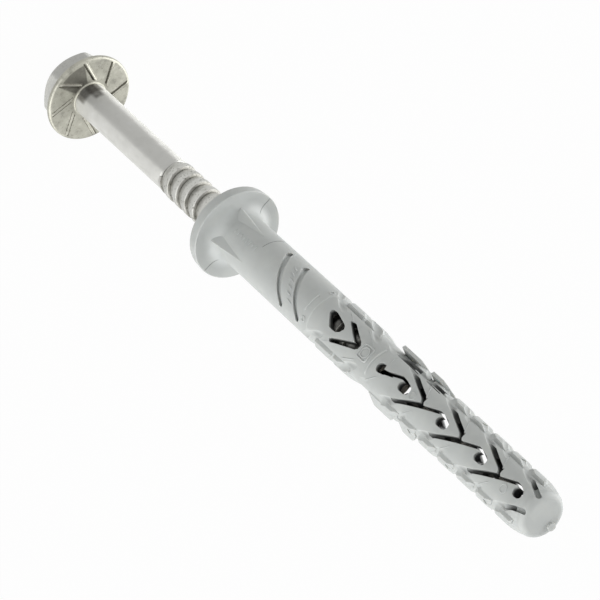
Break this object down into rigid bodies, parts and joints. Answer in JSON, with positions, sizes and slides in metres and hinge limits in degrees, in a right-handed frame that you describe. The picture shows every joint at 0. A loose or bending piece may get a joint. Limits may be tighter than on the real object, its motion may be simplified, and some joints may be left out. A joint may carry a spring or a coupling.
{
  "type": "frame fixing",
  "caption": "Long nylon frame plug with a collar, chevron slots and locking wings, and a hexagon flange screw partly driven into it.",
  "frame": {"origin": "centre of the screw head's flat end, which the row stands on", "axes": "+Z along the screw's axis towards the plug's closed tip; -Y is the side whose slots the picture shows; X lies across the mould halves"},
  "size_m": [0.018, 0.018, 0.1582],
  "materials": {
    "plug_nylon": "moulded, satin",
    "screw_steel": "bright plated, drawn"
  },
  "bodies": {
    "plug": {"plug": "plug_nylon"},
    "screw": {"screw": "screw_steel"}
  },
  "joints": [
    {"name": "screw_drive", "type": "slide", "parent": "plug", "child": "screw", "axis": [0, 0, 1], "range_m": [0, 0.0489]}
  ]
}
